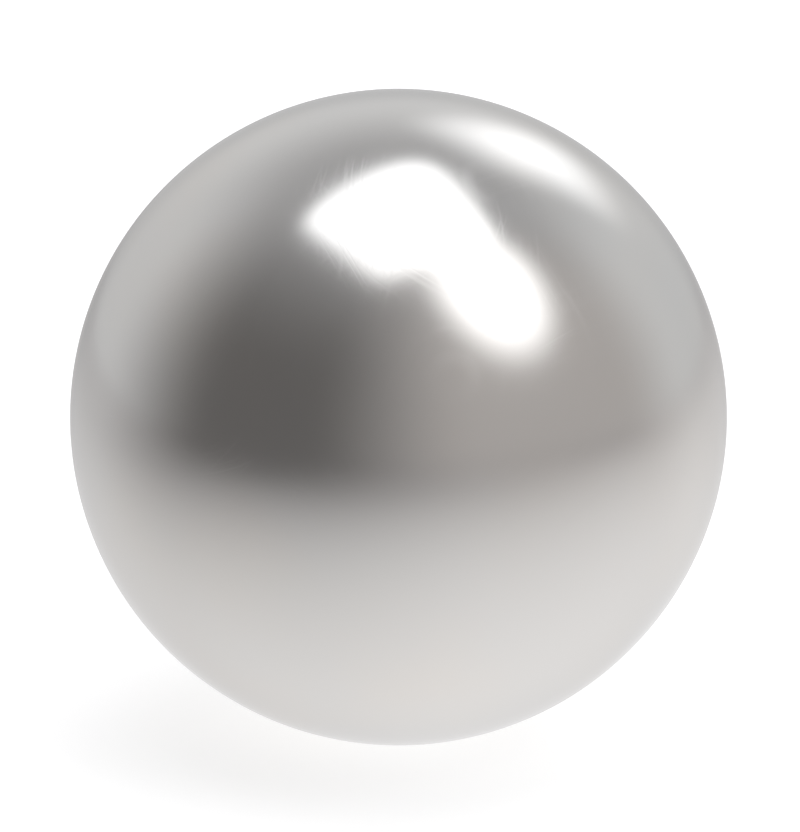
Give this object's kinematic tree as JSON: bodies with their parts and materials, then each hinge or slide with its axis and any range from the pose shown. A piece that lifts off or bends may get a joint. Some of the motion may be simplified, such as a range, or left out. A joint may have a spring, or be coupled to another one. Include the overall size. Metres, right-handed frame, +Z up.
{
  "type": "steel ball",
  "caption": "Solid polished steel ball, round all over, for bearings, check valves, detents and desk use.",
  "frame": {"origin": "centre of the ball", "axes": "+Z up, away from the seat that holds the ball; the ball is the same about every axis, so +X and +Y are free"},
  "size_m": [0.0254, 0.0254, 0.0254],
  "materials": {
    "polished_steel": "polished"
  },
  "bodies": {
    "root": {"ball": "polished_steel"}
  },
  "joints": []
}
